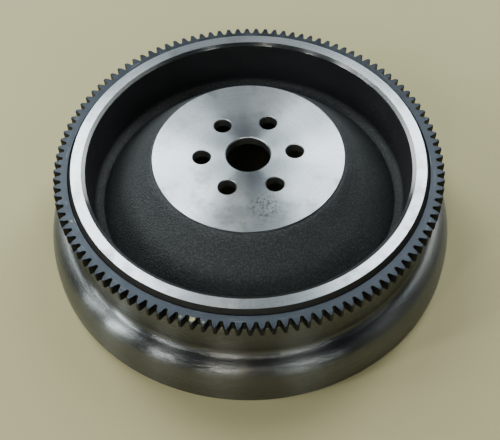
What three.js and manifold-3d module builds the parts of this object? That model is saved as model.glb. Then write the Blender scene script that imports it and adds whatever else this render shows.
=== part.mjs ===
// A pot flywheel: one iron casting with a steel ring gear shrunk onto its rim.
// Millimetres, +Z up along the crankshaft axis. The origin is the centre of the clutch seat,
// the plane that the part stands on; the crankshaft bolts to the pad at the top.
import * as THREE from "three";
import { mergeVertices } from "three/addons/utils/BufferGeometryUtils.js";
import Module from "manifold-3d";

const WELD = 1e-4; // corners nearer together than this are one corner

const wasm = await Module();
wasm.setup();

// ---- driving dimensions -------------------------------------------------------------------

const TURN_STEPS = 60; // facets round the casting
const HOLE_STEPS = 20; // facets round a bolt hole
const OVERCUT = 1; // how far a cutter runs past the faces that it cuts
const GAP = 0.3; // clearance left between the casting and the ring gear

// Skirt, the outer wall that flares down to the clutch seat
const SEAT_OUTER_R = 160.5;
const SEAT_INNER_R = 146;
const EDGE_BREAK = 0.7;
const SKIRT_WALL_TOP = 6.5; // where the upright wall starts to curve in
const SKIRT_LOW_ARC_R = 55;
const SKIRT_LOW_ARC_END = 20; // degrees that the lower arc turns through
const SKIRT_TOP_ARC_R = 14.5;
const SKIRT_TOP_ARC_END = 77; // degrees from upright where the shoulder meets the neck fillet
const NECK_FILLET_R = 6.5;

// Rim, above the neck
const REGISTER_R = 136.1; // where the ring gear is shrunk on
const SHOULDER_Z = 71.3; // the ledge that the ring gear stops against
const REGISTER_TOP = 79.9;
const RIM_OUTER_R = 133.8;
const RIM_INNER_R = 125.9;
const RIM_TOP = 84.3;
const RIM_CHAMFER_R = 123.1;
const RIM_CHAMFER_Z = 82.4;

// Trough between the rim and the hub
const TROUGH_WALL_R = 121.5;
const TROUGH_ARC_R = 6.7;
const TROUGH_ARC_Z = 48.5;
const TROUGH_ARC_END = 92; // degrees from the wall round to the foot of the hub cone

// Hub
const CONE_TOP_R = 77; // where the cone ends and its rounded top edge starts
const CONE_TOP_Z = 82;
const CONE_EDGE_R = 74.7; // the middle of that rounded edge
const CONE_EDGE_Z = 84.1;
const PAD_R = 72.4;
const PAD_Z = 86.4;
const PAD_STEP = 1.3; // how far the faced pad stands above the cast edge
const BORE_R = 16.8;
const BORE_CHAMFER = 0.8;
const BOLT_SEAT_Z = 78.4; // where the crankshaft bolts' heads sit, under the pad
const BOLT_SEAT_R = 50;
const BOLT_SEAT_DEPTH = 4.4; // how far the seat is cut into the underside of the web
const CRANK_HOLES = 6;
const CRANK_PITCH_R = 35.2;
const CRANK_HOLE_R = 6.75;
const CRANK_HOLE_CHAMFER = 0.6;
const CRANK_HOLE_ANGLE = 2.9; // degrees from +X to the first hole

// Clutch side
const WEB_R = 60; // the flat underside of the web, outside the bolt seat
const WEB_ROUND_R = 64; // the foot of the round from the web into the cone's inside
const WEB_ROUND_DROP = 2;
const CAVITY_CONE_R = 77; // the foot of the cone's inside
const CAVITY_CONE_Z = 56;
const CAVITY_WALL_R = 79; // the top of the cavity's wall, which widens a little downwards
const CAVITY_WALL_Z = 51;
const FRICTION_Z = 14;
const FRICTION_INNER_R = 80;
const FRICTION_CHAMFER = 1;
const COVER_HOLES = 6;
const COVER_PITCH_R = 153;
const COVER_HOLE_R = 4;
const COVER_HOLE_DEPTH = 15;
const COVER_HOLE_ANGLE = 32.9;
const COVER_HOLE_CHAMFER = 0.6;
const DRILL_POINT = 118; // degrees across the tip of the drill that a blind hole is made with

// Ring gear
const TEETH = 116;
const MODULE = 2.5;
const GEAR_BORE_R = REGISTER_R + GAP;
const GEAR_BOTTOM = SHOULDER_Z + GAP;
const GEAR_TOP = 80.4;
const GEAR_CHAMFER = 0.5;
const TOOTH_ANGLE = -0.7; // degrees from +X to the middle of the first tooth
const PITCH_R = (MODULE * TEETH) / 2;
const TIP_R = PITCH_R + MODULE;
const ROOT_R = PITCH_R - 1.25 * MODULE;
const TIP_HALF_WIDTH = 0.95;
const ROOT_HALF_WIDTH = 3.05;

// ---- outlines and solids ------------------------------------------------------------------

const rad = THREE.MathUtils.degToRad;

// Points round an arc, leaving out its first, which is where the outline already is.
function arc(centreR, centreZ, radius, from, to, steps) {
  const points = [];
  for (let i = 1; i <= steps; i += 1) {
    const a = rad(from + ((to - from) * i) / steps);
    points.push([centreR + radius * Math.cos(a), centreZ + radius * Math.sin(a)]);
  }
  return points;
}

// A closed outline of [radius, height] points turned round Z. The outline runs anticlockwise.
function turned(outline, steps, firstAngle = 0) {
  const points = [...outline, outline[0]].map(([r, z]) => new THREE.Vector2(r, z));
  const geometry = new THREE.LatheGeometry(points, steps);
  geometry.rotateX(Math.PI / 2);
  geometry.rotateZ(rad(firstAngle));
  return geometry;
}

// A three.js geometry as a solid that can be cut and joined.
function solid(geometry) {
  geometry.deleteAttribute("normal");
  geometry.deleteAttribute("uv");
  const merged = mergeVertices(geometry, WELD);
  return new wasm.Manifold(
    new wasm.Mesh({
      numProp: 3,
      vertProperties: merged.attributes.position.array,
      triVerts: new Uint32Array(merged.index.array),
    }),
  );
}

function geometryOf(body) {
  const mesh = body.getMesh();
  const geometry = new THREE.BufferGeometry();
  geometry.setAttribute("position", new THREE.BufferAttribute(mesh.vertProperties, 3));
  geometry.setIndex(new THREE.BufferAttribute(mesh.triVerts, 1));
  geometry.computeVertexNormals();
  return geometry;
}

// The skirt from the seat's edge up to the neck: an upright wall, two arcs that turn it inward,
// and the hollow fillet that brings it upright again.
function skirtOutline() {
  const centreR = SEAT_OUTER_R - SKIRT_LOW_ARC_R;
  const low = arc(centreR, SKIRT_WALL_TOP, SKIRT_LOW_ARC_R, 0, SKIRT_LOW_ARC_END, 3);
  const [lowR, lowZ] = low[low.length - 1];
  const turn = rad(SKIRT_LOW_ARC_END);
  const topR = lowR - SKIRT_TOP_ARC_R * Math.cos(turn);
  const topZ = lowZ - SKIRT_TOP_ARC_R * Math.sin(turn);
  const top = arc(topR, topZ, SKIRT_TOP_ARC_R, SKIRT_LOW_ARC_END, SKIRT_TOP_ARC_END, 5);
  const [shoulderR, shoulderZ] = top[top.length - 1];
  const end = rad(SKIRT_TOP_ARC_END);
  const filletR = shoulderR + NECK_FILLET_R * Math.cos(end);
  const filletZ = shoulderZ + NECK_FILLET_R * Math.sin(end);
  const fillet = arc(filletR, filletZ, NECK_FILLET_R, 180 + SKIRT_TOP_ARC_END, 180, 3);
  const neckR = filletR - NECK_FILLET_R;
  return [
    [SEAT_OUTER_R - EDGE_BREAK, 0],
    [SEAT_OUTER_R, EDGE_BREAK],
    [SEAT_OUTER_R, SKIRT_WALL_TOP],
    ...low,
    ...top,
    ...fillet,
    [neckR, SHOULDER_Z - EDGE_BREAK],
    [neckR - EDGE_BREAK, SHOULDER_Z],
  ];
}

function rimOutline() {
  return [
    [REGISTER_R, SHOULDER_Z],
    [REGISTER_R, REGISTER_TOP],
    [RIM_OUTER_R, RIM_TOP],
    [RIM_INNER_R, RIM_TOP],
    [RIM_CHAMFER_R, RIM_CHAMFER_Z],
  ];
}

function troughOutline() {
  const centreR = TROUGH_WALL_R - TROUGH_ARC_R;
  return [
    [TROUGH_WALL_R, TROUGH_ARC_Z],
    ...arc(centreR, TROUGH_ARC_Z, TROUGH_ARC_R, 0, -TROUGH_ARC_END, 4),
  ];
}

function hubOutline() {
  return [
    [CONE_TOP_R, CONE_TOP_Z],
    [CONE_EDGE_R, CONE_EDGE_Z],
    [PAD_R, PAD_Z - PAD_STEP],
    [PAD_R, PAD_Z],
    [BORE_R + BORE_CHAMFER, PAD_Z],
    [BORE_R, PAD_Z - BORE_CHAMFER],
    [BORE_R, BOLT_SEAT_Z],
    [BOLT_SEAT_R, BOLT_SEAT_Z],
  ];
}

// The cavity under the hub, the friction face and the ring-shaped seat round it.
function clutchSideOutline() {
  const webZ = BOLT_SEAT_Z - BOLT_SEAT_DEPTH;
  return [
    [BOLT_SEAT_R, webZ],
    [WEB_R, webZ],
    [WEB_ROUND_R, webZ - WEB_ROUND_DROP],
    [CAVITY_CONE_R, CAVITY_CONE_Z],
    [CAVITY_WALL_R, CAVITY_WALL_Z],
    [FRICTION_INNER_R, FRICTION_Z + FRICTION_CHAMFER],
    [FRICTION_INNER_R + FRICTION_CHAMFER, FRICTION_Z],
    [SEAT_INNER_R, FRICTION_Z],
    [SEAT_INNER_R, EDGE_BREAK],
    [SEAT_INNER_R + EDGE_BREAK, 0],
  ];
}

// A drill with a chamfering collar at the face it enters, pointing along -Z from z = 0.
function drill(radius, chamfer, depth, tip) {
  return turned(
    [
      [0, OVERCUT],
      [0, -depth - tip],
      [radius, -depth],
      [radius, -chamfer],
      [radius + chamfer + OVERCUT, OVERCUT],
    ],
    HOLE_STEPS,
  );
}

// Drills spaced evenly on a circle, entering at height z.
function drillCircle(count, pitchR, firstAngle, z, make) {
  const cutters = [];
  for (let i = 0; i < count; i += 1) {
    const a = rad(firstAngle + (360 * i) / count);
    const geometry = make();
    geometry.translate(pitchR * Math.cos(a), pitchR * Math.sin(a), z);
    cutters.push(solid(geometry));
  }
  return cutters;
}

function castingGeometry() {
  const outline = [
    ...skirtOutline(),
    ...rimOutline(),
    ...troughOutline(),
    ...hubOutline(),
    ...clutchSideOutline(),
  ];
  let body = solid(turned(outline, TURN_STEPS));
  const through = PAD_Z - BOLT_SEAT_Z + OVERCUT;
  const tip = COVER_HOLE_R / Math.tan(rad(DRILL_POINT / 2));
  const crankDrills = drillCircle(CRANK_HOLES, CRANK_PITCH_R, CRANK_HOLE_ANGLE, PAD_Z, () =>
    drill(CRANK_HOLE_R, CRANK_HOLE_CHAMFER, through, 0),
  );
  const coverDrills = drillCircle(COVER_HOLES, COVER_PITCH_R, COVER_HOLE_ANGLE, 0, () =>
    drill(COVER_HOLE_R, COVER_HOLE_CHAMFER, COVER_HOLE_DEPTH, tip).rotateX(Math.PI),
  );
  for (const cutter of [...crankDrills, ...coverDrills]) {
    body = body.subtract(cutter);
  }
  return geometryOf(body);
}

// The teeth as one flat outline: four corners a tooth, the sides leaning in towards the tip.
function toothedShape() {
  const shape = new THREE.Shape();
  const corners = [
    [ROOT_R, -ROOT_HALF_WIDTH],
    [TIP_R, -TIP_HALF_WIDTH],
    [TIP_R, TIP_HALF_WIDTH],
    [ROOT_R, ROOT_HALF_WIDTH],
  ];
  for (let tooth = 0; tooth < TEETH; tooth += 1) {
    const middle = rad(TOOTH_ANGLE + (360 * tooth) / TEETH);
    corners.forEach(([r, across], corner) => {
      const a = middle + across / r;
      const move = tooth === 0 && corner === 0 ? "moveTo" : "lineTo";
      shape[move](r * Math.cos(a), r * Math.sin(a));
    });
  }
  shape.closePath();
  const bore = new THREE.Path();
  for (let i = 0; i < TEETH; i += 1) {
    const a = rad(TOOTH_ANGLE - (360 * (i + 0.5)) / TEETH);
    bore[i === 0 ? "moveTo" : "lineTo"](GEAR_BORE_R * Math.cos(a), GEAR_BORE_R * Math.sin(a));
  }
  bore.closePath();
  shape.holes.push(bore);
  return shape;
}

// The toothed ring, with its tooth tips and its bore chamfered by the blank that it is cut from.
function gearGeometry() {
  const teeth = new THREE.ExtrudeGeometry(toothedShape(), {
    depth: GEAR_TOP - GEAR_BOTTOM,
    bevelEnabled: false,
  });
  teeth.translate(0, 0, GEAR_BOTTOM);
  const tip = TIP_R / Math.cos(Math.PI / TEETH); // the blank's flats touch the tips
  const blank = turned(
    [
      [GEAR_BORE_R - OVERCUT, GEAR_BOTTOM - OVERCUT],
      [tip - GEAR_CHAMFER - OVERCUT, GEAR_BOTTOM - OVERCUT],
      [tip + OVERCUT, GEAR_BOTTOM + GEAR_CHAMFER + OVERCUT],
      [tip + OVERCUT, GEAR_TOP - GEAR_CHAMFER - OVERCUT],
      [tip - GEAR_CHAMFER - OVERCUT, GEAR_TOP + OVERCUT],
      [GEAR_BORE_R + GEAR_CHAMFER + OVERCUT, GEAR_TOP + OVERCUT],
      [GEAR_BORE_R - OVERCUT, GEAR_TOP - GEAR_CHAMFER - OVERCUT],
    ],
    TEETH,
    TOOTH_ANGLE + 180 / TEETH,
  );
  return geometryOf(solid(teeth).intersect(solid(blank)));
}

// ---- the part -----------------------------------------------------------------------------

function piece(name, geometry, look) {
  const mesh = new THREE.Mesh(geometry, new THREE.MeshStandardMaterial(look));
  mesh.name = name;
  return mesh;
}

const flywheel = new THREE.Group();
flywheel.name = "flywheel";
flywheel.add(
  piece("flywheel_casting", castingGeometry(), { color: 0x5c5d5a, roughness: 0.45, metalness: 0.9 }),
  piece("ring_gear", gearGeometry(), { color: 0x6d7480, roughness: 0.5, metalness: 0.9 }),
);

export default flywheel;
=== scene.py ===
# A pot flywheel: an iron casting with a steel ring gear shrunk onto its rim.
# Metres, +Z up along the crankshaft axis, the origin at the centre of the clutch seat.
# Both pieces are turned or cut shapes, so both meshes are worked out from the dimensions below.
# Those are in millimetres, scaled by MM, and agree with the CAD model's own.
import math

import bmesh
import bpy
from mathutils import Matrix, Vector, noise


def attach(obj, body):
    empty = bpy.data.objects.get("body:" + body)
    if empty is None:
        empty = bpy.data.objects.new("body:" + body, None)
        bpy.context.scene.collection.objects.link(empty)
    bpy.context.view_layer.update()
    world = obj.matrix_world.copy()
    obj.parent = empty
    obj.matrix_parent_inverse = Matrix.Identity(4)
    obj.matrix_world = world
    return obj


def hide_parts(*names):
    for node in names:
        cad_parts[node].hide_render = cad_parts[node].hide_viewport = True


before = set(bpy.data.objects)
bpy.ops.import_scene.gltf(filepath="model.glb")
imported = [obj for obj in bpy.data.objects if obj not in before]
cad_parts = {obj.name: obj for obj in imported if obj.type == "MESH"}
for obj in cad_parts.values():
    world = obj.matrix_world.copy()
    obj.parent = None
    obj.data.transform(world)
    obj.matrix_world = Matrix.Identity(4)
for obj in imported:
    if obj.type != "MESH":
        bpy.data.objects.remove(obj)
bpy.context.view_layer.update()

MM = 0.001

# ---- dimensions, in millimetres ------------------------------------------------------------

SEAT_OUTER_R = 160.5
SEAT_INNER_R = 146.0
SEAT_OUTER_EDGE = 0.8
SEAT_INNER_EDGE = 0.7
SKIRT_WALL_TOP = 6.5
SKIRT_LOW_ARC_R = 55.0
SKIRT_LOW_ARC_END = 20.0  # degrees that the lower arc turns through
SKIRT_TOP_ARC_R = 14.5
SKIRT_TOP_ARC_END = 77.0  # degrees from upright where the shoulder meets the neck fillet
NECK_FILLET_R = 6.5
REGISTER_R = 136.1
SHOULDER_Z = 71.3
REGISTER_TOP = 79.9
RIM_OUTER_R = 133.8
RIM_INNER_R = 125.9
RIM_TOP = 84.3
RIM_CHAMFER_R = 123.1
RIM_CHAMFER_Z = 82.4
TROUGH_WALL_R = 121.5
TROUGH_ARC_R = 6.7
TROUGH_ARC_Z = 48.5
TROUGH_ARC_END = 92.0  # degrees from the wall round to the foot of the hub cone
CONE_TOP_R = 77.0
CONE_TOP_Z = 82.0
CONE_EDGE_R = 74.7
CONE_EDGE_Z = 84.1
PAD_R = 72.4
PAD_Z = 86.4
PAD_STEP = 1.3  # how far the faced pad stands above the cast edge
BORE_R = 16.8
BORE_CHAMFER = 0.8
BORE_FOOT_CHAMFER = 0.6
BOLT_SEAT_Z = 78.4  # where the crankshaft bolts' heads sit, under the pad
BOLT_SEAT_R = 50.0
BOLT_SEAT_DEPTH = 4.4
CRANK_HOLES = 6
CRANK_PITCH_R = 35.2
CRANK_HOLE_R = 6.75
CRANK_HOLE_ANGLE = 2.9  # degrees from +X to the first hole
CRANK_HOLE_LIP = [(0.6, 0.0), (0.1, 0.5), (0.0, 0.8)]  # (how much wider, how far down) at the mouth
CRANK_HOLE_FOOT_CHAMFER = 0.4
WEB_R = 60.0
WEB_ROUND_R = 64.0
WEB_ROUND_DROP = 2.0
CAVITY_CONE_R = 77.0
CAVITY_CONE_Z = 56.0
CAVITY_WALL_R = 79.0
CAVITY_WALL_Z = 51.0
FRICTION_Z = 14.0
FRICTION_INNER_R = 80.0
FRICTION_CHAMFER = 1.0
COVER_HOLES = 6
COVER_PITCH_R = 153.0
COVER_HOLE_R = 4.0
COVER_HOLE_DEPTH = 15.0
COVER_HOLE_ANGLE = 32.9
COVER_HOLE_CHAMFER = 0.6
DRILL_POINT = 0.58  # depth of the cone that a drill leaves, for each unit of its radius
TEETH = 116
MODULE = 2.5
PRESSURE_ANGLE = 20.0
ROOT_DEPTH = 1.25  # below the pitch circle, in modules
ROOT_FILLET = 0.7
ROOT_SPREAD = 0.1  # how much wider the tooth is where its fillet starts
TIP_EASE = 0.12
GEAR_BORE_R = 136.4
GEAR_BOTTOM = 71.6
GEAR_TOP = 80.4
GEAR_CHAMFER = 0.5
TOOTH_ANGLE = -0.7  # degrees from +X to the middle of the first tooth

TURN_STEPS = 360  # facets round the casting
HOLE_STEPS = 48
CORNER_STEPS = 4
CORNER_FINISH = 0.6  # share of a rounded edge that has the finish of the stretch before it
FLANK_STEPS = 6
HOLE_ZONE_R = 48.0  # the flat ring of the pad and of the bolt seat that the bolt holes go through
LONGEST_STEP = 3.0  # longest step along a straight stretch of the casting's outline
LARGEST_REACH = 0.45  # share of a stretch that the rounding of one of its ends may take
SHARP_ANGLE = 34.0  # degrees between two faces from which their edge is shaded as a sharp one
CAST_SWELL = 0.22  # how far the as-cast faces wander from their true shape
CAST_SWELL_SCALE = 70.0
CAST_PITTING = 0.03
CAST_PITTING_SCALE = 330.0
TIP_INSET = 0.75  # how far the bevel of the ring gear's faces reaches in at a tooth's tip
FLANK_INSET = 0.3  # and along its flanks
BEVEL_DROP = 1.6  # how far down that bevel runs, as a share of FLANK_INSET

# ---- outlines ------------------------------------------------------------------------------
# An outline is a list of (radius, height, edge rounding, finish); the finish is that of the
# stretch that leads to the point.


def arc(centre_r, centre_z, radius, start, end, steps, finish):
    """Points round an arc after its first."""
    points = []
    for i in range(1, steps + 1):
        a = math.radians(start + (end - start) * i / steps)
        r, z = centre_r + radius * math.cos(a), centre_z + radius * math.sin(a)
        points.append((r, z, 0.0, finish))
    return points


def rounded(outline):
    """The outline with each edge that has a rounding turned into a short curve."""
    points = [outline[0]]
    for before, here, after in zip(outline, outline[1:], outline[2:]):
        corner = Vector(here[:2])
        back, on = Vector(before[:2]) - corner, Vector(after[:2]) - corner
        reach = min(here[2], back.length * LARGEST_REACH, on.length * LARGEST_REACH)
        if reach < 1e-6:
            points.append(here)
            continue
        start, end = corner + back.normalized() * reach, corner + on.normalized() * reach
        for i in range(CORNER_STEPS + 1):
            s = i / CORNER_STEPS
            p = start * (1 - s) ** 2 + corner * 2 * s * (1 - s) + end * s**2
            points.append((p.x, p.y, 0.0, here[3] if s < CORNER_FINISH else after[3]))
    points.append(outline[-1])
    return points


def stepped(outline):
    """The outline with its long straight stretches cut into shorter ones."""
    points = [outline[0]]
    for before, here in zip(outline, outline[1:]):
        span = math.hypot(here[0] - before[0], here[1] - before[1])
        cuts = max(1, math.ceil(span / LONGEST_STEP))
        for i in range(1, cuts + 1):
            s = i / cuts
            r = before[0] + (here[0] - before[0]) * s
            z = before[1] + (here[1] - before[1]) * s
            points.append((r, z, 0.0, here[3]))
    return points


def skirt_outline():
    """From the seat's outer edge up the flared skirt to the ledge under the ring gear."""
    low_r = SEAT_OUTER_R - SKIRT_LOW_ARC_R
    low = arc(low_r, SKIRT_WALL_TOP, SKIRT_LOW_ARC_R, 0, SKIRT_LOW_ARC_END, 9, "turned")
    turn = math.radians(SKIRT_LOW_ARC_END)
    top_r = low[-1][0] - SKIRT_TOP_ARC_R * math.cos(turn)
    top_z = low[-1][1] - SKIRT_TOP_ARC_R * math.sin(turn)
    top = arc(top_r, top_z, SKIRT_TOP_ARC_R, SKIRT_LOW_ARC_END, SKIRT_TOP_ARC_END, 14, "turned")
    end = math.radians(SKIRT_TOP_ARC_END)
    fillet_r = top[-1][0] + NECK_FILLET_R * math.cos(end)
    fillet_z = top[-1][1] + NECK_FILLET_R * math.sin(end)
    fillet = arc(fillet_r, fillet_z, NECK_FILLET_R, 180 + SKIRT_TOP_ARC_END, 180, 10, "turned")
    neck_r = fillet_r - NECK_FILLET_R
    return [
        (SEAT_OUTER_R - SEAT_OUTER_EDGE, 0, 0, "faced"),
        (SEAT_OUTER_R, SEAT_OUTER_EDGE, 0.4, "turned"),
        (SEAT_OUTER_R, SKIRT_WALL_TOP, 0, "turned"),
        *low,
        *top,
        *fillet,
        (neck_r, SHOULDER_Z, 0.6, "turned"),
        (REGISTER_R, SHOULDER_Z, 0.2, "turned"),
    ]


def rim_outline():
    """Up the ring gear's register, over the faced rim and down the trough to the hub cone's foot."""
    centre_r = TROUGH_WALL_R - TROUGH_ARC_R
    return [
        (REGISTER_R, REGISTER_TOP, 0.3, "turned"),
        # the slope up from the register is painted near black as the shade of the gap beside the ring
        # gear
        (RIM_OUTER_R, RIM_TOP, 0.35, "gap_shade"),
        (RIM_INNER_R, RIM_TOP, 0.25, "faced"),
        (RIM_CHAMFER_R, RIM_CHAMFER_Z, 0.5, "turned"),
        (TROUGH_WALL_R, TROUGH_ARC_Z, 0, "cast"),
        *arc(centre_r, TROUGH_ARC_Z, TROUGH_ARC_R, 0, -TROUGH_ARC_END, 10, "cast"),
    ]


def hub_outline():
    """Up the hub cone and onto the pad, as far as the zone of its bolt holes."""
    return [
        (CONE_TOP_R, CONE_TOP_Z, 3.0, "cast"),
        (CONE_EDGE_R, CONE_EDGE_Z, 1.2, "cast"),
        (PAD_R + 0.2, PAD_Z - PAD_STEP, 0.3, "cast"),
        (PAD_R, PAD_Z, 0.3, "bored"),
        (HOLE_ZONE_R, PAD_Z, 0, "faced"),
    ]


def bore_outline():
    """Down the crankshaft bore, from the pad to the bolt seat."""
    return [
        (BORE_R + BORE_CHAMFER, PAD_Z, 0, "bored"),
        (BORE_R, PAD_Z - BORE_CHAMFER, 0.15, "bored"),
        (BORE_R, BOLT_SEAT_Z + BORE_FOOT_CHAMFER, 0.15, "bored"),
        (BORE_R + BORE_FOOT_CHAMFER, BOLT_SEAT_Z, 0, "bored"),
    ]


def clutch_side_outline():
    """From the bolt seat down the cavity, across the friction face and down the pot's wall."""
    web_z = BOLT_SEAT_Z - BOLT_SEAT_DEPTH
    return [
        (HOLE_ZONE_R, BOLT_SEAT_Z, 0, "bored"),
        (BOLT_SEAT_R, BOLT_SEAT_Z, 0.3, "bored"),
        (BOLT_SEAT_R, web_z, 0.6, "bored"),
        (WEB_R, web_z, 1.5, "cast"),
        (WEB_ROUND_R, web_z - WEB_ROUND_DROP, 1.5, "cast"),
        (CAVITY_CONE_R, CAVITY_CONE_Z, 2.0, "cast"),
        (CAVITY_WALL_R, CAVITY_WALL_Z, 2.0, "cast"),
        (FRICTION_INNER_R, FRICTION_Z + FRICTION_CHAMFER, 0.2, "cast"),
        (FRICTION_INNER_R + FRICTION_CHAMFER, FRICTION_Z, 0.2, "bored"),
        (SEAT_INNER_R, FRICTION_Z, 0.8, "ground"),
        (SEAT_INNER_R, SEAT_INNER_EDGE, 0.2, "turned"),
        (SEAT_INNER_R + SEAT_INNER_EDGE, 0, 0, "turned"),
    ]


# ---- mesh work -----------------------------------------------------------------------------

FINISHES = ["turned", "faced", "bored", "cast", "ground", "gap_shade"]


def at(r, a, z):
    """The point, in metres, at a radius and height in millimetres and an angle in radians."""
    return Vector((r * math.cos(a), r * math.sin(a), z)) * MM


def turn_outline(bm, outline):
    """Turns an open outline round Z. Returns its first and last rings of vertices."""
    rings = []
    for r, z, _, _ in outline:
        rings.append([bm.verts.new(at(r, math.tau * i / TURN_STEPS, z)) for i in range(TURN_STEPS)])
    for lower, upper, point in zip(rings, rings[1:], outline[1:]):
        for i in range(TURN_STEPS):
            j = (i + 1) % TURN_STEPS
            face = bm.faces.new((lower[i], lower[j], upper[j], upper[i]))
            face.material_index = FINISHES.index(point[3])
            face.smooth = True
    return rings[0], rings[-1]


def hole_rings(bm, x, y, outline, tip=None):
    """A round hole's wall from (radius, height) points, closed by a cone where tip is a height."""
    turn = [math.tau * i / HOLE_STEPS for i in range(HOLE_STEPS)]
    middle = Vector((x, y, 0)) * MM
    rings = [[bm.verts.new(at(r, a, z) + middle) for a in turn] for r, z in outline]
    walls = []
    for lower, upper in zip(rings, rings[1:]):
        for i in range(HOLE_STEPS):
            j = (i + 1) % HOLE_STEPS
            walls.append(bm.faces.new((lower[i], lower[j], upper[j], upper[i])))
    if tip is not None:
        point = bm.verts.new(Vector((x, y, tip)) * MM)
        for i in range(HOLE_STEPS):
            walls.append(bm.faces.new((rings[-1][i], rings[-1][(i + 1) % HOLE_STEPS], point)))
    for face in walls:
        face.material_index = FINISHES.index("bored")
        face.smooth = True
    return rings[0], rings[-1]


def fill_flat(bm, rings, finish):
    """Fills the flat zone between closed rings of vertices."""
    edges = []
    for ring in rings:
        for a, b in zip(ring, ring[1:] + ring[:1]):
            edges.append(bm.edges.get((a, b)) or bm.edges.new((a, b)))
    filled = bmesh.ops.triangle_fill(bm, edges=edges, use_beauty=True)
    for face in filled["geom"]:
        if isinstance(face, bmesh.types.BMFace):
            face.material_index = FINISHES.index(finish)
            face.smooth = False


def circle_points(count, pitch_r, first):
    """The middles of holes evenly spaced on a pitch circle, the first at an angle in degrees."""
    turns = [math.radians(first + 360 * i / count) for i in range(count)]
    return [(pitch_r * math.cos(a), pitch_r * math.sin(a)) for a in turns]


def roughen(bm):
    """Moves the as-cast faces in and out a little, so that they aren't perfectly turned."""
    cast = FINISHES.index("cast")
    bm.normal_update()
    moves = []
    for v in bm.verts:
        if v.link_faces and all(f.material_index == cast for f in v.link_faces):
            swell = noise.noise(v.co * CAST_SWELL_SCALE) * CAST_SWELL
            pits = noise.noise(v.co * CAST_PITTING_SCALE) * CAST_PITTING
            moves.append((v, v.normal * (swell + pits) * MM))
    for v, move in moves:
        v.co += move


def add_object(name, data):
    made = bpy.data.objects.new(name, data)
    bpy.context.scene.collection.objects.link(made)
    return made


def mesh_object(bm, name, materials):
    mesh = bpy.data.meshes.new(name)
    bm.to_mesh(mesh)
    bm.free()
    for material in materials:
        mesh.materials.append(material)
    return add_object(name, mesh)


def metal_object(bm, name, materials):
    """A mesh object with its faces turned outwards and its real edges shaded sharp."""
    bmesh.ops.recalc_face_normals(bm, faces=bm.faces)
    made = mesh_object(bm, name, materials)
    made.data.set_sharp_from_angle(angle=math.radians(SHARP_ANGLE))
    weighted = made.modifiers.new("even_shading", "WEIGHTED_NORMAL")
    weighted.keep_sharp = True
    return made


def make_casting(looks):
    bm = bmesh.new()
    upper = stepped(rounded(skirt_outline() + rim_outline() + hub_outline()))
    seat_outer, pad_zone = turn_outline(bm, upper)
    bore_top, bore_foot = turn_outline(bm, stepped(rounded(bore_outline())))
    seat_zone, seat_inner = turn_outline(bm, stepped(rounded(clutch_side_outline())))
    tops, feet, mouths = [], [], []
    for x, y in circle_points(CRANK_HOLES, CRANK_PITCH_R, CRANK_HOLE_ANGLE):
        wall = [
            *[(CRANK_HOLE_R + wider, PAD_Z - down) for wider, down in CRANK_HOLE_LIP],
            (CRANK_HOLE_R, BOLT_SEAT_Z + CRANK_HOLE_FOOT_CHAMFER),
            (CRANK_HOLE_R + CRANK_HOLE_FOOT_CHAMFER, BOLT_SEAT_Z),
        ]
        top, foot = hole_rings(bm, x, y, wall)
        tops.append(top)
        feet.append(foot)
    for x, y in circle_points(COVER_HOLES, COVER_PITCH_R, COVER_HOLE_ANGLE):
        wall = [
            (COVER_HOLE_R + COVER_HOLE_CHAMFER, 0),
            (COVER_HOLE_R, COVER_HOLE_CHAMFER),
            (COVER_HOLE_R, COVER_HOLE_DEPTH),
        ]
        mouth, _ = hole_rings(bm, x, y, wall, tip=COVER_HOLE_DEPTH + DRILL_POINT * COVER_HOLE_R)
        mouths.append(mouth)
    fill_flat(bm, [pad_zone, bore_top, *tops], "faced")
    fill_flat(bm, [seat_zone, bore_foot, *feet], "bored")
    fill_flat(bm, [seat_outer, seat_inner, *mouths], "faced")
    roughen(bm)
    return metal_object(bm, "casting", [looks[f] for f in FINISHES])


def involute(angle):
    """The involute function, which gives how far round a flank lies at a pressure angle."""
    return math.tan(angle) - angle


def tooth_outline():
    """One tooth from the middle of a gap to the next, as (angle from its middle, radius)."""
    pitch_r = MODULE * TEETH / 2
    base_r = pitch_r * math.cos(math.radians(PRESSURE_ANGLE))
    root_r, tip_r = pitch_r - ROOT_DEPTH * MODULE, pitch_r + MODULE
    half_pitch = math.pi / TEETH
    half_at_pitch = half_pitch / 2 + involute(math.radians(PRESSURE_ANGLE))
    side = []
    for i in range(FLANK_STEPS + 1):
        r = root_r + ROOT_FILLET + (tip_r - TIP_EASE - root_r - ROOT_FILLET) * i / FLANK_STEPS
        side.append((half_at_pitch - involute(math.acos(base_r / r)), r))
    root_half = side[0][0] + ROOT_SPREAD / root_r
    bottom = [
        (half_pitch, root_r),
        (half_pitch - (half_pitch - root_half) * 0.45, root_r + 0.02),
        (root_half + 0.25 * ROOT_FILLET / root_r, root_r + 0.22 * ROOT_FILLET),
    ]
    crown = [(side[-1][0] - TIP_EASE / tip_r, tip_r), (side[-1][0] * 0.4, tip_r)]
    falling = list(reversed(bottom + side + crown))
    rising = [(-a, r) for a, r in reversed(falling[:-1])]
    return rising + falling


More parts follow.
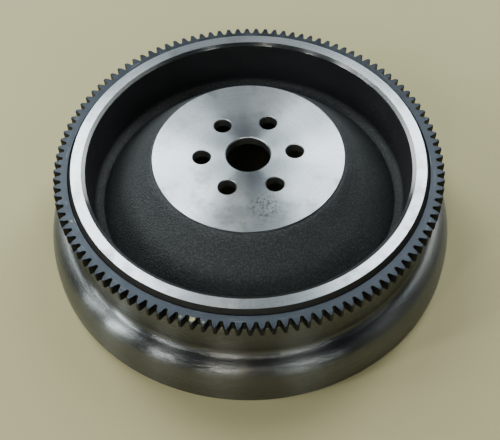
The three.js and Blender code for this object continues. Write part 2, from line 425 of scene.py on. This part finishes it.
def make_gear(look):
    """The toothed ring, from its outline and the same outline drawn in where its edges are eased."""
    tooth = tooth_outline()
    root_r, tip_r = min(r for _, r in tooth), max(r for _, r in tooth)
    full, inset = [], []
    for n in range(TEETH):
        middle = math.radians(TOOTH_ANGLE) + math.tau * n / TEETH
        for a, r in tooth:
            full.append((middle + a, r))
    total = len(full)
    for i, (a, r) in enumerate(full):
        before, after = full[i - 1], full[(i + 1) % total]
        along = at(after[1], after[0], 0) - at(before[1], before[0], 0)
        inward = Vector((-along.y, along.x, 0)).normalized()
        share = (r - root_r) / (tip_r - root_r)  # the bevel widens over the tooth's top third
        depth = FLANK_INSET + (TIP_INSET - FLANK_INSET) * max(0, share * 3 - 2)
        moved = at(r, a, 0) + inward * depth * MM
        inset.append((moved.x, moved.y))
    bm = bmesh.new()
    bore = [
        (GEAR_BORE_R, GEAR_BOTTOM),
        (GEAR_BORE_R, GEAR_TOP - GEAR_CHAMFER),
        (GEAR_BORE_R + GEAR_CHAMFER, GEAR_TOP),
    ]
    loops = [[bm.verts.new(at(r, a, z)) for a, _ in full] for r, z in bore]
    loops.append([bm.verts.new((x, y, GEAR_TOP * MM)) for x, y in inset])
    for z in (GEAR_TOP - FLANK_INSET * BEVEL_DROP, GEAR_BOTTOM + FLANK_INSET * BEVEL_DROP):
        loops.append([bm.verts.new(at(r, a, z)) for a, r in full])
    loops.append([bm.verts.new((x, y, GEAR_BOTTOM * MM)) for x, y in inset])
    for lower, upper in zip(loops, loops[1:] + loops[:1]):
        for i in range(total):
            j = (i + 1) % total
            face = bm.faces.new((lower[i], lower[j], upper[j], upper[i]))
            face.smooth = True
    return metal_object(bm, "toothed_ring", [look])


# ---- materials -----------------------------------------------------------------------------

QUARTER_TURN = 0.25
HANDLED_INNER_R = 20.0  # the pad is darkest inside this radius and clean outside the next
HANDLED_OUTER_R = 52.0
PITTED_PATCH = (281.9, 51.0, 12.0)  # degrees round, radius in mm, size in mm
PAINT = (0.34, 0.31, 0.13)
PAINT_DABS = [
    # degrees round, radius in mm, size in mm, how much of the metal it covers
    (250.5, 144.2, 1.3, 0.3),
    (253.7, 144.2, 2.0, 0.85),
    (256.8, 144.2, 1.2, 0.5),
    (202.8, 139.6, 1.0, 0.3),
]


class Look:
    """A material: one Principled shader and the nodes that its pattern is made of."""

    def __init__(self, name, metallic):
        self.material = bpy.data.materials.new(name)
        self.material.use_nodes = True
        self.tree = self.material.node_tree
        self.shader = self.tree.nodes["Principled BSDF"]
        self.set("Metallic", metallic)
        self.place = self.node("ShaderNodeTexCoord").outputs["Object"]
        split = self.node("ShaderNodeSeparateXYZ", Vector=self.place)
        self.x, self.y, self.z = split.outputs
        self.radius = self.distance(self.x, self.y)
        self.turn = self.math("ARCTAN2", self.y, self.x)
        self.along = self.math("SUBTRACT", self.radius, self.z)

    def set(self, socket, value):
        """Gives a socket of the shader a plain value, or links a node's output to it."""
        self.feed(self.shader.inputs[socket], value)

    def feed(self, socket, value):
        """The same for any node's socket."""
        if isinstance(value, bpy.types.NodeSocket):
            self.tree.links.new(value, socket)
        else:
            socket.default_value = value

    def node(self, kind, settings=None, **inputs):
        made = self.tree.nodes.new(kind)
        for name, value in (settings or {}).items():
            setattr(made, name, value)
        for name, value in inputs.items():
            self.feed(made.inputs[name.replace("_", " ")], value)
        return made

    def math(self, operation, a, b=0.0):
        made = self.node("ShaderNodeMath", {"operation": operation})
        self.feed(made.inputs[0], a)
        self.feed(made.inputs[1], b)
        return made.outputs[0]

    def distance(self, x, y):
        return self.math("SQRT", self.math("ADD", self.math("POWER", x, 2), self.math("POWER", y, 2)))

    def upward(self):
        """How far a face looks up: 1 for a flat top, 0 for a wall, -1 for a flat underside."""
        facing = self.node("ShaderNodeNewGeometry").outputs["Normal"]
        return self.node("ShaderNodeSeparateXYZ", Vector=facing).outputs["Z"]

    def noise(self, vector, scale, detail, roughness):
        made = self.node(
            "ShaderNodeTexNoise", Vector=vector, Scale=scale, Detail=detail, Roughness=roughness
        )
        return made.outputs["Fac"]

    def rings(self, scale, wander):
        """Noise that runs round the axis in rings, as a turning tool's marks do."""
        across = self.math("MULTIPLY", self.along, scale)
        around = self.math("MULTIPLY", self.math("SINE", self.turn), wander)
        other = self.math("MULTIPLY", self.math("COSINE", self.turn), wander)
        vector = self.node("ShaderNodeCombineXYZ", X=across, Y=around, Z=other).outputs[0]
        return self.noise(vector, 1.0, 2.0, 0.5)

    def remap(self, value, low, high, to_low, to_high):
        """A smooth step from to_low, where value is low or less, to to_high."""
        made = self.node(
            "ShaderNodeMapRange",
            {"interpolation_type": "SMOOTHSTEP", "clamp": True},
            Value=value, From_Min=low, From_Max=high, To_Min=to_low, To_Max=to_high,
        )
        return made.outputs[0]

    def mix(self, factor, first, second):
        """Goes from the first colour, at factor 0, to the second, at 1."""
        made = self.node("ShaderNodeMix", {"data_type": "RGBA"})
        self.feed(made.inputs[0], factor)
        self.feed(made.inputs[6], (*first, 1) if isinstance(first, tuple) else first)
        self.feed(made.inputs[7], (*second, 1) if isinstance(second, tuple) else second)
        return made.outputs[2]

    def bump(self, height, distance, over=None):
        made = self.node("ShaderNodeBump", Height=height, Distance=distance, Strength=1.0)
        if over is not None:
            self.feed(made.inputs["Normal"], over)
        return made.outputs[0]

    def dab(self, angle, radius, size):
        """A ragged spot, 1 inside and 0 outside, at an angle in degrees and a radius in mm."""
        a = math.radians(angle)
        away = self.distance(
            self.math("SUBTRACT", self.x, radius * math.cos(a) * MM),
            self.math("SUBTRACT", self.y, radius * math.sin(a) * MM),
        )
        torn = self.math("MULTIPLY", self.noise(self.place, 700, 3.0, 0.6), 2 * size * MM)
        ragged = self.math("ADD", away, torn)
        return self.remap(ragged, size * 1.7 * MM, size * 2.0 * MM, 1.0, 0.0)

    def grooved(self, amount):
        """Makes highlights stretch across the turning marks, which run round the axis."""
        tangent = self.node("ShaderNodeTangent", {"direction_type": "RADIAL", "axis": "Z"})
        self.set("Tangent", tangent.outputs[0])
        self.set("Anisotropic", amount)
        self.set("Anisotropic Rotation", QUARTER_TURN)


def faced_look():
    """The pad, the rim and the clutch seat: bright faced iron with grey stains and a pitted patch."""
    look = Look("faced_iron", 1.0)
    look.grooved(0.95)
    fine, broad = look.rings(3200, 1.0), look.rings(420, 0.6)
    stain = look.noise(look.place, 46, 6.0, 0.68)
    blot = look.remap(stain, 0.46, 0.68, 0.0, 1.0)
    handled = look.remap(look.radius, HANDLED_INNER_R * MM, HANDLED_OUTER_R * MM, 0.9, 0.0)
    clean = look.mix(broad, (0.67, 0.72, 0.745), (0.71, 0.76, 0.785))
    clean = look.mix(handled, clean, (0.26, 0.29, 0.305))
    specks = look.remap(look.noise(look.place, 420, 3.0, 0.7), 0.5, 0.6, 0.0, 1.0)
    pitted = look.math("MULTIPLY", look.dab(*PITTED_PATCH), specks)
    worn = look.mix(look.math("MULTIPLY", blot, 0.55), clean, (0.27, 0.295, 0.30))
    look.set("Base Color", look.mix(look.math("MULTIPLY", pitted, 0.7), worn, (0.12, 0.13, 0.13)))
    smooth = look.remap(fine, 0.3, 0.7, 0.27, 0.31)
    look.set("Roughness", look.math("ADD", smooth, look.math("MULTIPLY", blot, 0.12)))
    look.set("Normal", look.bump(fine, 0.000006))
    return look.material


def turned_look():
    """The skirt, the neck, the register and the rim's inner chamfer: darker turned iron."""
    look = Look("turned_iron", 1.0)
    look.grooved(1.0)
    fine, broad = look.rings(5200, 1.2), look.rings(300, 0.8)
    stain = look.noise(look.place, 22, 4.0, 0.6)
    metal = look.mix(broad, (0.125, 0.129, 0.123), (0.158, 0.163, 0.157))
    oily = look.remap(stain, 0.45, 0.75, 0.0, 0.5)
    look.set("Base Color", look.mix(oily, metal, (0.12, 0.108, 0.084)))
    look.set("Roughness", look.remap(look.math("ADD", fine, stain), 0.6, 1.4, 0.25, 0.31))
    look.set("Normal", look.bump(fine, 0.00005))
    return look.material


def bored_look():
    """The bores, the chamfers and the underside of the pad."""
    look = Look("bored_iron", 1.0)
    fine = look.rings(1500, 0.5)
    look.set("Base Color", look.mix(fine, (0.26, 0.27, 0.26), (0.40, 0.41, 0.40)))
    look.set("Roughness", 0.38)
    look.set("Normal", look.bump(fine, 0.00003))
    return look.material


def cast_look():
    """The trough and the cavity: as-cast iron, dark, finely pebbled and faintly shiny; faces that
    look up are painted lighter as if lit from above, the walls and undersides are painted near black
    as shade, and the pebbles carry painted glints.
    """
    look = Look("cast_iron", 0.2)
    grain = look.noise(look.place, 1200, 2.0, 0.6)
    lumps = look.noise(look.place, 720, 3.0, 0.65)
    patch = look.noise(look.place, 30, 3.0, 0.5)
    # painted light: 1 where a face looks up, as if lit from above, and 0 on walls and undersides,
    # which are painted as shade
    painted_top_light = look.remap(look.upward(), 0.1, 0.75, 0.0, 1.0)
    # painted glints: the raised pebbles are lightened as if catching the light
    speck = look.remap(lumps, 0.42, 0.7, 0.0, 1.0)
    dark = look.mix(patch, (0.012, 0.0145, 0.014), (0.026, 0.031, 0.03))
    dark = look.mix(look.math("MULTIPLY", speck, 0.6), dark, (0.09, 0.097, 0.094))
    # painted shade: walls and undersides get near black, and faces that look up get the lit colour
    # with its glints
    look.set("Base Color", look.mix(painted_top_light, (0.008, 0.0085, 0.009), dark))
    look.set("Roughness", look.remap(look.math("ADD", grain, patch), 0.7, 1.3, 0.45, 0.65))
    look.set("Normal", look.bump(grain, 0.0005, over=look.bump(lumps, 0.0009)))
    return look.material


def ground_look():
    """The friction face, ground bright."""
    look = Look("ground_iron", 1.0)
    look.grooved(0.4)
    fine, broad = look.rings(1200, 3.0), look.rings(120, 1.0)
    look.set("Base Color", look.mix(broad, (0.42, 0.44, 0.44), (0.56, 0.58, 0.58)))
    look.set("Roughness", look.remap(fine, 0.3, 0.7, 0.28, 0.42))
    look.set("Normal", look.bump(fine, 0.00002))
    return look.material


def gap_shade_look():
    """The slope from the rim down to the ring gear, painted near black as the shade of the gap beside
    the gear.
    """
    look = Look("gap_shade_iron", 0.6)
    unevenness = look.noise(look.place, 160, 4.0, 0.6)
    # painted shade: near black with a little uneven tone, for the shade in the gap beside the ring
    # gear
    look.set("Base Color", look.mix(unevenness, (0.018, 0.018, 0.016), (0.045, 0.044, 0.038)))
    look.set("Roughness", 0.5)
    look.set("Normal", look.bump(unevenness, 0.0001))
    return look.material


def gear_look():
    """The ring gear: blue-grey scratched steel, its flanks painted near black as shade between the
    teeth, dabbed with paint.
    """
    look = Look("gear_steel", 0.85)
    flat = look.remap(look.math("ABSOLUTE", look.upward()), 0.6, 0.95, 0.0, 1.0)
    mottle = look.noise(look.place, 90, 4.0, 0.6)
    scratch = look.rings(900, 6.0)
    face = look.mix(mottle, (0.022, 0.027, 0.033), (0.052, 0.061, 0.073))
    face = look.mix(look.remap(scratch, 0.62, 0.7, 0.0, 0.3), face, (0.2, 0.215, 0.23))
    # painted shade: the flanks between the teeth are near black, and only the faces that look up or
    # down keep the steel's colour
    colour = look.mix(flat, (0.012, 0.0125, 0.0135), face)
    for angle, radius, size, cover in PAINT_DABS:
        spot = look.math("MULTIPLY", look.dab(angle, radius, size), cover)
        colour = look.mix(look.math("MULTIPLY", spot, flat), colour, PAINT)
    look.set("Base Color", colour)
    look.set("Roughness", look.remap(mottle, 0.3, 0.7, 0.36, 0.5))
    look.set("Normal", look.bump(mottle, 0.00008))
    return look.material


def floor_look():
    """A plain pale table top."""
    look = Look("floor", 0.0)
    tone = look.noise(look.place, 6, 3.0, 0.5)
    look.set("Base Color", look.mix(tone, (0.355, 0.318, 0.155), (0.385, 0.346, 0.175)))
    look.set("Roughness", 0.75)
    return look.material


# ---- stage ---------------------------------------------------------------------------------

FLOOR_SIZE = 30.0
FLOOR_CELLS = 8
CAMERA_BACK = 0.4315
CAMERA_HEIGHT = 0.5844
CAMERA_PITCH = 53.42  # degrees below the horizon
CAMERA_ROLL = -1.53
CAMERA_LENS = 62.86
CAMERA_SENSOR = 36.0
CAMERA_CLIP = 0.01
SKY = (0.75, 0.85, 1.0)
SKY_STRENGTH = 0.08
LIGHT_AIM = (0, 0, 0.05)
COOL = (0.90, 0.97, 1.0)
NEUTRAL = (0.97, 0.99, 1.0)
WARM = (1.0, 0.96, 0.88)
LIGHTS = [
    # name, place, width, height, power, tint; the strips draw the streaks on the skirt and the pad
    ("left_box", (-1.0, 1.25, 1.4), 0.75, 2.2, 52, COOL),
    ("right_box", (1.0, 1.25, 1.4), 0.75, 2.2, 41, COOL),
    ("back_fill", (0.0, 1.3, 1.75), 1.2, 1.6, 2.0, COOL),
    ("strip_above", (-0.11, 0.69, 1.92), 0.05, 0.6, 0.4, WARM),
    ("front_fill", (0.0, -2.4, 1.15), 3.0, 1.0, 1.6, COOL),
    ("strip_back_left", (-1.50, -0.08, 1.1), 0.08, 0.8, 5, COOL),
    ("strip_far_left", (-1.42, -0.49, 1.1), 0.1, 0.8, 11, COOL),
    ("strip_left", (-1.07, -1.085, 1.05), 0.03, 0.56, 5, NEUTRAL),
    ("strip_front", (-0.365, -1.48, 1.05), 0.03, 0.56, 5.6, WARM),
    ("strip_right", (0.6, -1.4, 1.05), 0.03, 0.56, 5, COOL),
    ("strip_far_right", (1.38, -0.58, 1.1), 0.12, 0.8, 0.7, COOL),
]


def make_camera():
    data = bpy.data.cameras.new("camera")
    data.lens = CAMERA_LENS
    data.sensor_width = CAMERA_SENSOR
    data.clip_start = CAMERA_CLIP
    made = add_object("camera", data)
    tilt = Matrix.Rotation(math.radians(90 - CAMERA_PITCH), 4, "X")
    roll = Matrix.Rotation(math.radians(CAMERA_ROLL), 4, "Z")
    place = Matrix.Translation((0, -CAMERA_BACK, CAMERA_HEIGHT))
    made.matrix_world = place @ tilt @ roll
    bpy.context.scene.camera = made


def make_floor(look):
    bm = bmesh.new()
    bmesh.ops.create_grid(bm, x_segments=FLOOR_CELLS, y_segments=FLOOR_CELLS, size=FLOOR_SIZE / 2)
    made = mesh_object(bm, "floor", [look])


def make_light(name, place, width, height, power, tint):
    data = bpy.data.lights.new(name, "AREA")
    data.shape = "RECTANGLE"
    data.size, data.size_y = width, height
    data.energy = power
    data.color = tint
    made = add_object(name, data)
    made.location = place
    made.rotation_euler = (Vector(LIGHT_AIM) - Vector(place)).to_track_quat("-Z", "Y").to_euler()


def make_lights():
    world = bpy.data.worlds.new("studio")
    world.use_nodes = True
    background = world.node_tree.nodes["Background"]
    background.inputs["Color"].default_value = (*SKY, 1)
    background.inputs["Strength"].default_value = SKY_STRENGTH
    bpy.context.scene.world = world
    for light in LIGHTS:
        make_light(*light)


make_camera()
looks = {
    "turned": turned_look(),
    "faced": faced_look(),
    "bored": bored_look(),
    "cast": cast_look(),
    "ground": ground_look(),
    "gap_shade": gap_shade_look(),
}
casting = make_casting(looks)
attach(casting, "root")
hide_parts("flywheel_casting")
gear = make_gear(gear_look())
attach(gear, "root")
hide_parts("ring_gear")
make_floor(floor_look())
make_lights()
